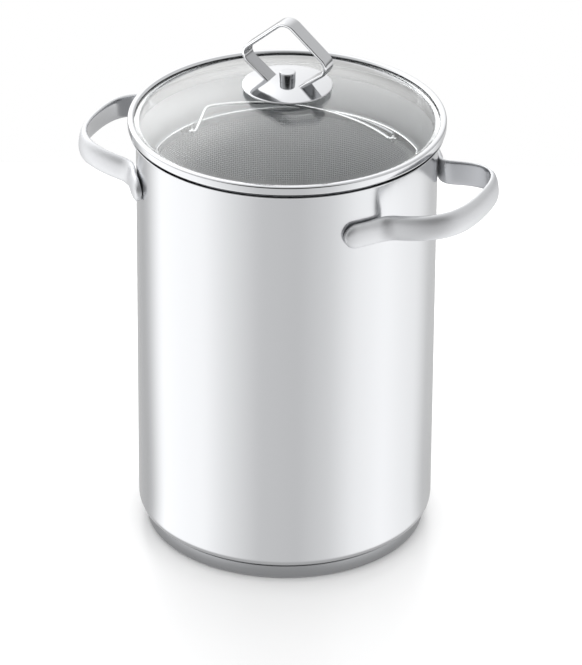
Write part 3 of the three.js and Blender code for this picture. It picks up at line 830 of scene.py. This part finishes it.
# Keeps the lid's widest and highest points just inside the solids
INSIDE = 0.01
band_r -= INSIDE
BAND_WALL = 0.5
BEAD_RISE = 0.7
BEAD_SLOPE = 0.8
BEAD_BEND = 1.3
GRIP_WIDTH = 2
GRIP_BEND = 0.6
SKIRT_PLAY = 1.2
SKIRT_BEND = 0.4
skirt_r = pot_r - POT_WALL - SKIRT_PLAY
band_low = rim_z + GAP
pocket_r = glass_r + GAP
grip_r = glass_r - GRIP_WIDTH
band_outline = soften(
    [
        ((skirt_r, skirt_z), FINE_EDGE),
        ((skirt_r, band_low), SKIRT_BEND),
        ((band_r, band_low), BEAD_BEND),
        ((band_r, band_top + BEAD_RISE), BEAD_BEND),
        ((grip_r + BEAD_SLOPE, band_top + BEAD_RISE), GRIP_BEND),
        ((grip_r, band_top - BAND_WALL), HOLE_EDGE),
        ((pocket_r, band_top - BAND_WALL), EDGE),
        ((pocket_r, band_low + BAND_WALL), EDGE),
        ((skirt_r - BAND_WALL, band_low + BAND_WALL), SKIRT_BEND),
        ((skirt_r - BAND_WALL, skirt_z), FINE_EDGE),
    ],
    steps=10,
)
make_piece("lid_band_bead", *turned(band_outline), polished_bead, "lid_rim_band")

# %% [markdown]
# ## Plate, pads and screw
# A domed plate carries the lid's handle. A silicone pad lies between it and the glass, and under the glass a
# second pad, a washer and one screw pull everything together. The screw ends in a round boss on the plate.

# %% Plate and pads
plate_r, _, _ = round_size("lid_handle_plate")
PLATE_THICKNESS = 1
PLATE_DOME = 2.3
PLATE_EDGE = 0.45
PLATE_EDGE_START = 1.2
PAD_THICKNESS = 1.8
plate_under = flange_z + GLASS_RISE + PAD_THICKNESS + 2 * GAP
plate_top = plate_under + PLATE_THICKNESS
plate_sphere_r = (plate_r**2 + PLATE_DOME**2) / (2 * PLATE_DOME)
plate_centre_z = plate_top - plate_sphere_r
plate_edge_z = dome_z(plate_centre_z, plate_sphere_r, plate_r)
SCREW_R = 2
hole_r = SCREW_R + GAP
plate_outline = soften(
    [
        *dome_points(plate_centre_z, plate_sphere_r - PLATE_THICKNESS, hole_r, plate_r - PLATE_EDGE_START),
        ((plate_r, plate_edge_z - PLATE_THICKNESS), PLATE_EDGE),
        ((plate_r, plate_edge_z), PLATE_EDGE),
        *dome_points(plate_centre_z, plate_sphere_r, plate_r - PLATE_EDGE_START, hole_r),
    ]
)
make_piece("lid_plate_dome", *turned(plate_outline), bright_pressing, "lid_handle_plate")

PAD_SETBACK = 2
pad_r = round_size("lid_gasket_upper")[0] - PAD_SETBACK
pad_outline = soften(
    [
        *dome_points(dome_centre_z, dome_sphere_r + GAP, hole_r, pad_r, steps=8),
        *dome_points(plate_centre_z, plate_sphere_r - PLATE_THICKNESS - GAP, pad_r, hole_r, steps=8),
    ]
)
make_piece("upper_pad", *turned(pad_outline), silicone_pad, "lid_gasket_upper")

for name, node, finish in (
    ("lower_pad", "lid_gasket_lower", silicone_pad),
    ("lid_washer_disc", "lid_washer", turned_base),
):
    ring_r, ring_low, ring_top = round_size(node)
    ring_outline = soften(
        [
            ((hole_r, ring_low), HOLE_EDGE),
            ((ring_r, ring_low), EDGE),
            ((ring_r, ring_top), EDGE),
            ((hole_r, ring_top), HOLE_EDGE),
        ]
    )
    make_piece(name, *turned(ring_outline, steps=SMALL_ROUND_STEPS), finish, node)

# %% Screw and boss
head_r, head_low, shank_top = round_size("lid_screw")
HEAD_HEIGHT = 2.4
HEAD_BEND = 1.2
SHANK_BEND = 0.4
SOCKET_R = 1.4
SOCKET_DEPTH = 1.3
SHARP_EDGE = 0.1
screw_outline = soften(
    [
        ((0, head_low + SOCKET_DEPTH), 0),
        ((SOCKET_R, head_low + SOCKET_DEPTH), SHARP_EDGE),
        ((SOCKET_R, head_low), FINE_EDGE),
        ((head_r, head_low), HEAD_BEND),
        ((head_r, head_low + HEAD_HEIGHT), FINE_EDGE),
        ((SCREW_R, head_low + HEAD_HEIGHT), FINE_EDGE),
        ((SCREW_R, shank_top), SHANK_BEND),
        ((0, shank_top), 0),
    ],
    closed=False,
)
screw_shape = turned(screw_outline, closed=False, steps=SMALL_ROUND_STEPS)
make_piece("lid_screw_shape", *screw_shape, turned_base, "lid_screw")

boss_r, _, boss_top = round_size("lid_handle_boss")
BOSS_WALL = 0.8
BOSS_BEND = 0.7
boss_low = dome_z(plate_centre_z, plate_sphere_r, boss_r)
boss_outline = soften(
    [
        ((0, boss_top - BOSS_WALL), 0),
        ((hole_r, boss_top - BOSS_WALL), FINE_EDGE),
        ((hole_r, boss_low), FINE_EDGE),
        ((boss_r, boss_low), SHARP_EDGE),
        ((boss_r, boss_top), BOSS_BEND),
        ((0, boss_top), 0),
    ],
    closed=False,
)
boss_shape = turned(boss_outline, closed=False, steps=SMALL_ROUND_STEPS)
make_piece("lid_boss_stud", *boss_shape, bright_pressing, "lid_handle_boss")

# %% [markdown]
# ## The lid's loop
# The loop is a flat strap bent into a rounded diamond. Its outer line is three circles joined by straight
# touching lines: one at the top and one at each side corner. Both ends are cut to the plate's curve and stand
# on it. Outside, inside and edges each have their own material: the inside is tinted darker as painted shade,
# and the edges lighter as painted highlight.

# %% Lid loop
LOOP_THICKNESS = 2.2
LOOP_WIDTH = 9.6
LOOP_TOP_R = 8
LOOP_CORNER_R = 6.8
LOOP_FOOT_X = 12.2
LOOP_HALF_SPAN = 24.8
LOOP_CORNER_RISE = 13.1
LOOP_EDGE = 1.0
FOOT_OVERLAP = 0.4
loop_low_z = dome_z(plate_centre_z, plate_sphere_r, LOOP_FOOT_X) + GAP
loop_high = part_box("lid_handle_loop")[1]
foot_point = Vector((LOOP_FOOT_X, loop_low_z))
corner_centre = Vector((LOOP_HALF_SPAN - LOOP_CORNER_R, loop_low_z + LOOP_CORNER_RISE))
top_centre = Vector((0, loop_high.z / MM - LOOP_TOP_R - INSIDE))


# Angle of the outward normal of the line that touches two circles on its way from one to the other
def touching_normal(start, start_r, end, end_r):
    way = end - start
    return math.atan2(way.y, way.x) - math.acos((start_r - end_r) / way.length)


def arc(centre, radius, start, end, steps=24):
    turns = [start + (end - start) * step / steps for step in range(steps + 1)]
    return [(centre + radius * Vector((math.cos(turn), math.sin(turn))), turn) for turn in turns]


low_turn = touching_normal(foot_point, 0, corner_centre, LOOP_CORNER_R)
high_turn = touching_normal(corner_centre, LOOP_CORNER_R, top_centre, LOOP_TOP_R)
middle = LOOP_THICKNESS / 2
foot_normal = Vector((math.cos(low_turn), math.sin(low_turn)))
foot_way = Vector((-foot_normal.y, foot_normal.x))
foot_middle = foot_point - foot_normal * middle - foot_way * FOOT_OVERLAP
right_side = [(foot_middle, low_turn), *arc(corner_centre, LOOP_CORNER_R - middle, low_turn, high_turn)]
loop_top = arc(top_centre, LOOP_TOP_R - middle, high_turn, math.pi - high_turn)
left_side = [(Vector((-point.x, point.y)), math.pi - turn) for point, turn in right_side[::-1]]
half_width = LOOP_WIDTH / 2
strap_corners = [
    ((middle, -half_width), LOOP_EDGE),
    ((middle, half_width), LOOP_EDGE),
    ((-middle, half_width), LOOP_EDGE),
    ((-middle, -half_width), LOOP_EDGE),
]
rings = []
for point, turn in right_side + loop_top + left_side:
    ring = []
    for out, across in soften(strap_corners, steps=5):
        place = point + out * Vector((math.cos(turn), math.sin(turn)))
        ring.append(Vector((place.x, across, place.y)))
    rings.append(ring)
for end, lean in ((rings[0], foot_way.x), (rings[-1], -foot_way.x)):
    for place in end:
        drop = place.z - dome_z(plate_centre_z, plate_sphere_r, place.xy.length)
        place.x -= lean / foot_way.y * drop
        place.z -= drop
loop_strap = make_piece("lid_loop_strap", *skinned(rings), bright_pressing, "lid_handle_loop")
loop_strap.data.materials.append(shaded_loop_inside)
loop_strap.data.materials.append(highlighted_edge)
loop_middle = Vector((0, 0, corner_centre.y)) * MM
EDGE_TURN = 0.5
# Faces across the width get the painted highlight, and faces looking into the loop get the painted shade
for face in loop_strap.data.polygons:
    if abs(face.normal.y) > EDGE_TURN:
        face.material_index = 2
    elif face.normal.dot(loop_middle - face.center) > 0:
        face.material_index = 1

# %% [markdown]
# ## Table and light card
# The pot stands on a large white table. Polished steel shows what is around it, and seen from above, the
# upright wall mirrors the table. A photographer lays white and grey cards there, which draw long even bands
# on the wall. Here one glowing light card does it, just under the table, and its bands are painted
# reflection: the camera sees only the table, and steel sees only the card. A strip of the wall that is turned
# away by some angle looks at the card at twice that angle far away, and at the same angle close to its foot.
# Working back from each point of the card to that turn keeps every band upright. Close to the foot the card
# also carries a painted shadow.

# %% Table
VIEW_TURN = math.radians(25)
STAGE_REACH = 1500
TABLE_BACK = 430
to_right = Vector((math.cos(VIEW_TURN), math.sin(VIEW_TURN), 0))
to_camera = Vector((math.sin(VIEW_TURN), -math.cos(VIEW_TURN), 0))


def studio(right, near, up):
    return (to_right * right + to_camera * near + Vector((0, 0, up))) * MM


def sheet(name, back, height, material):
    reach = STAGE_REACH
    corners = [(-reach, reach), (reach, reach), (reach, -back), (-reach, -back)]
    mesh = bpy.data.meshes.new(name)
    mesh.from_pydata([studio(right, near, height) for right, near in corners], [], [[0, 1, 2, 3]])
    mesh.materials.append(material)
    board = bpy.data.objects.new(name, mesh)
    bpy.context.collection.objects.link(board)
    return board


white_table = wavy_surface(
    "white_table_laminate",
    wave_mm=3,
    relief=0.05,
    depth_mm=0.02,
    shader_values={"Base Color": colour("#F8F8F8"), "Roughness": 0.25},
)
table = sheet("table", TABLE_BACK, 0, white_table)
table.visible_glossy = False
print("table in mm:", 2 * STAGE_REACH, "by", STAGE_REACH + TABLE_BACK)

# %% Light card
CARD_LIGHT = 1.86
BACK_LEVEL = 0.36
FOOT_SHADOW_LEVEL = 0.36
# Painted shadow: the card darkens between these distances from the wall, standing in for the contact shadow
# round the foot
FOOT_SHADE = (4, 12)
CARD_BACK = 900
CARD_DEPTH = 1
# Painted reflection: turn of the wall in degrees, from its left edge to its right edge, and the level of the
# card that it shows
painted_band_levels = [
    (-74, 0.36),
    (-69, 0.46),
    (-58, 1.0),
    (-34, 0.93),
    (-24, 0.75),
    (-10, 0.53),
    (5, 0.5),
    (17, 0.61),
    (28, 0.82),
    (42, 0.92),
    (63, 0.76),
    (75, 0.45),
]
# The card glows with the wall's bands, drawn as painted reflection
painted_reflection_card = bpy.data.materials.new("light_card_painted_reflection")
painted_reflection_card.use_nodes = True
painted_reflection_card.cycles.emission_sampling = "NONE"
tree = painted_reflection_card.node_tree
place = add_node(tree, "ShaderNodeTexCoord", {}).outputs["Object"]
along = [
    add_node(tree, "ShaderNodeVectorMath", {0: place, 1: way}, operation="DOT_PRODUCT").outputs["Value"]
    for way in (to_right, to_camera)
]
around = add_node(tree, "ShaderNodeMath", {0: along[0], 1: along[1]}, operation="ARCTAN2")
away = add_node(tree, "ShaderNodeVectorMath", {0: place}, operation="LENGTH").outputs["Value"]
nearness = add_node(tree, "ShaderNodeMath", {0: pot_r * MM, 1: away}, operation="DIVIDE")
times = add_node(tree, "ShaderNodeMath", {0: 2.0, 1: nearness.outputs["Value"]}, operation="SUBTRACT")
wall_turn = add_node(
    tree,
    "ShaderNodeMath",
    {0: around.outputs["Value"], 1: times.outputs["Value"]},
    operation="DIVIDE",
)
share = add_node(
    tree,
    "ShaderNodeMapRange",
    {"Value": wall_turn.outputs["Value"], "From Min": -math.pi / 2, "From Max": math.pi / 2},
)
strips = add_node(tree, "ShaderNodeValToRGB", {"Fac": share.outputs["Result"]})
for stop in strips.color_ramp.elements:
    stop.color = (BACK_LEVEL, BACK_LEVEL, BACK_LEVEL, 1)
for turn, level in painted_band_levels:
    strips.color_ramp.elements.new(turn / 180 + 0.5).color = (level, level, level, 1)
# Painted shadow: close to the wall the card's level falls to the foot level
card_level = add_node(
    tree,
    "ShaderNodeMapRange",
    {
        "Value": away,
        "From Min": (pot_r + FOOT_SHADE[0]) * MM,
        "From Max": (pot_r + FOOT_SHADE[1]) * MM,
        "To Min": FOOT_SHADOW_LEVEL,
        "To Max": strips.outputs["Color"],
    },
    interpolation_type="SMOOTHSTEP",
)
glow = add_node(tree, "ShaderNodeEmission", {"Color": card_level.outputs["Result"], "Strength": CARD_LIGHT})
set_sockets(tree, tree.nodes["Material Output"], {"Surface": glow.outputs["Emission"]})
card = sheet("light_card", CARD_BACK, -CARD_DEPTH, painted_reflection_card)
card.visible_camera = False
card.visible_diffuse = False
card.visible_transmission = False
card.visible_shadow = False
print("light card levels:", len(painted_band_levels))

# %% [markdown]
# ## Lamps and room
# Four soft lamps keep the table white. They are hidden from shiny surfaces, so the steel shows no lamp. The
# room is white, with a dark side behind the camera. For shiny surfaces only, it has a wide bright window at
# the back left with a brighter patch in it, and is grey below. The window lies as a pale veil on the glass
# lid, the grey keeps the lid's far edge from going white, and the dark side draws the dark lines in the loop
# and the band.

# %% Lamps and room


def soft_lamp(name, place, width, height, watts, spread):
    lamp = bpy.data.lights.new(name, "AREA")
    lamp.shape = "RECTANGLE"
    lamp.size = width * MM
    lamp.size_y = height * MM
    lamp.energy = watts
    lamp.spread = math.radians(spread)
    holder = bpy.data.objects.new(name, lamp)
    holder.location = studio(*place)
    holder.rotation_euler = Vector((0, 0, -1)).to_track_quat("-Z", "Y").to_euler()
    holder.visible_camera = False
    holder.visible_glossy = False
    bpy.context.collection.objects.link(holder)


# All four shine straight down
soft_lamp("left_lamp", (-305, 0, 400), width=320, height=320, watts=0.1, spread=50)
soft_lamp("right_lamp", (305, 0, 400), width=320, height=320, watts=0.1, spread=50)
soft_lamp("back_lamp", (0, -420, 500), width=900, height=200, watts=0.9, spread=110)
soft_lamp("front_lamp", (0, 400, 700), width=1000, height=600, watts=1.4, spread=140)

room = bpy.data.worlds.new("studio_room")
room.use_nodes = True
bpy.context.scene.world = room
tree = room.node_tree
way = add_node(tree, "ShaderNodeTexCoord", {})


# A level that goes smoothly from far to near as the looked-at way turns towards the given one
def towards(aim, start, end, far, near):
    turned_to = add_node(
        tree,
        "ShaderNodeVectorMath",
        {0: way.outputs["Generated"], 1: aim},
        operation="DOT_PRODUCT",
    )
    levels = {
        "Value": turned_to.outputs["Value"],
        "From Min": start,
        "From Max": end,
        "To Min": far,
        "To Max": near,
    }
    return add_node(tree, "ShaderNodeMapRange", levels, interpolation_type="SMOOTHSTEP").outputs["Result"]


wall_level = towards(to_camera, start=0.55, end=0.88, far=1.0, near=0.06)
window_way = studio(right=-0.6, near=-0.68, up=0.42).normalized()
window_level = towards(window_way, start=0.3, end=1.0, far=0.0, near=1.0)
patch_way = studio(right=-0.45, near=-0.72, up=0.53).normalized()
patch_level = towards(patch_way, start=0.88, end=1.0, far=0.0, near=1.1)
low_shade = towards(Vector((0, 0, 1)), start=-0.1, end=0.15, far=0.7, near=0.0)
DARKEST = 0.05
ray = add_node(tree, "ShaderNodeLightPath", {})
window = add_node(tree, "ShaderNodeMath", {0: window_level, 1: patch_level}, operation="ADD")
seen_in_steel = add_node(
    tree,
    "ShaderNodeMath",
    {0: window.outputs["Value"], 1: low_shade},
    operation="SUBTRACT",
)
lit = add_node(
    tree,
    "ShaderNodeMath",
    {0: seen_in_steel.outputs["Value"], 1: ray.outputs["Is Glossy Ray"], 2: wall_level},
    operation="MULTIPLY_ADD",
)
strength = add_node(tree, "ShaderNodeMath", {0: lit.outputs["Value"], 1: DARKEST}, operation="MAXIMUM")
set_sockets(
    tree,
    tree.nodes["Background"],
    {"Color": colour("#FFFFFF"), "Strength": strength.outputs["Value"]},
)

# %% [markdown]
# ## Camera
# The camera stands far away with a long lens, about 28 degrees above the table, a little to the right of the
# pot's front. A small roll and shift put the pot where it stands in the picture.

# %% Camera
VIEW_RISE = math.radians(28.11)
VIEW_ROLL = math.radians(0.37)
AIM_HEIGHT = 120
CAMERA_AWAY = 2714
back = to_camera * math.cos(VIEW_RISE) + Vector((0, 0, math.sin(VIEW_RISE)))
up = back.cross(to_right)
rolled_right = to_right * math.cos(VIEW_ROLL) + up * math.sin(VIEW_ROLL)
rolled_up = up * math.cos(VIEW_ROLL) - to_right * math.sin(VIEW_ROLL)
lens = bpy.data.cameras.new("long_lens")
# Focal length and sensor width are in millimetres, the shifts are shares of the sensor
lens.lens = 269.0
lens.sensor_width = 36
lens.shift_x = 0.0077
lens.shift_y = -0.022
lens.clip_end = 20
camera = bpy.data.objects.new("long_lens", lens)
stand = (Vector((0, 0, AIM_HEIGHT)) + back * CAMERA_AWAY) * MM
facing = Matrix((rolled_right, rolled_up, back)).transposed().to_4x4()
camera.matrix_world = Matrix.Translation(stand) @ facing
bpy.context.collection.objects.link(camera)
scene = bpy.context.scene
scene.camera = camera
scene.view_settings.view_transform = "Standard"
print("camera stands at, in mm:", [round(c / MM) for c in stand])
